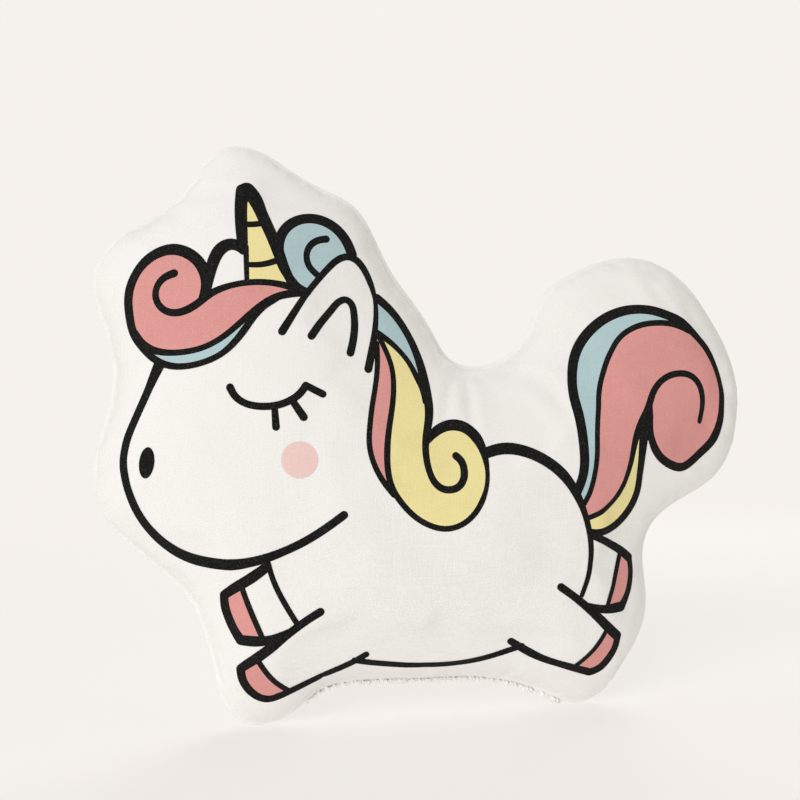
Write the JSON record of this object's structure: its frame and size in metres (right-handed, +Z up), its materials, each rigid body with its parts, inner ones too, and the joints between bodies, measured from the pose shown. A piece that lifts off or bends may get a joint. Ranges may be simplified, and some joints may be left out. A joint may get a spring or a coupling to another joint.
{
  "type": "stuffed unicorn cushion",
  "caption": "Flat shape-cut stuffed cushion of a leaping unicorn, with a printed cotton front, a fleece back and a turned edge seam.",
  "frame": {"origin": "under the middle of the cushion, level with the two hoof lobes that it stands on, in the plane of the seam", "axes": "+X to the right seen from the printed front, which faces -Y; +Z up, from the hoof lobes to the horn"},
  "size_m": [0.4004, 0.0871, 0.3471],
  "materials": {
    "cotton_white": "matt plain-weave cotton",
    "fleece_white": "matt short-pile fleece",
    "thread_white": "matt spun polyester thread",
    "polyester_fibre": "loose crimped fibre",
    "ink_black": "matt pigment print on cotton",
    "ink_pink": "matt pigment print on cotton",
    "ink_blue": "matt pigment print on cotton",
    "ink_yellow": "matt pigment print on cotton",
    "ink_blush": "matt pigment print on cotton"
  },
  "bodies": {
    "root": {"front_panel": "cotton_white", "back_panel": "fleece_white", "seam_thread": "thread_white", "closing_stitches": "thread_white", "filling_crown": "polyester_fibre", "filling_head": "polyester_fibre", "filling_body": "polyester_fibre", "filling_tail": "polyester_fibre", "filling_fore_hooves": "polyester_fibre", "filling_hind_hooves": "polyester_fibre", "print_black": "ink_black", "print_pink": "ink_pink", "print_blue": "ink_blue", "print_yellow": "ink_yellow", "print_blush": "ink_blush"}
  },
  "joints": []
}
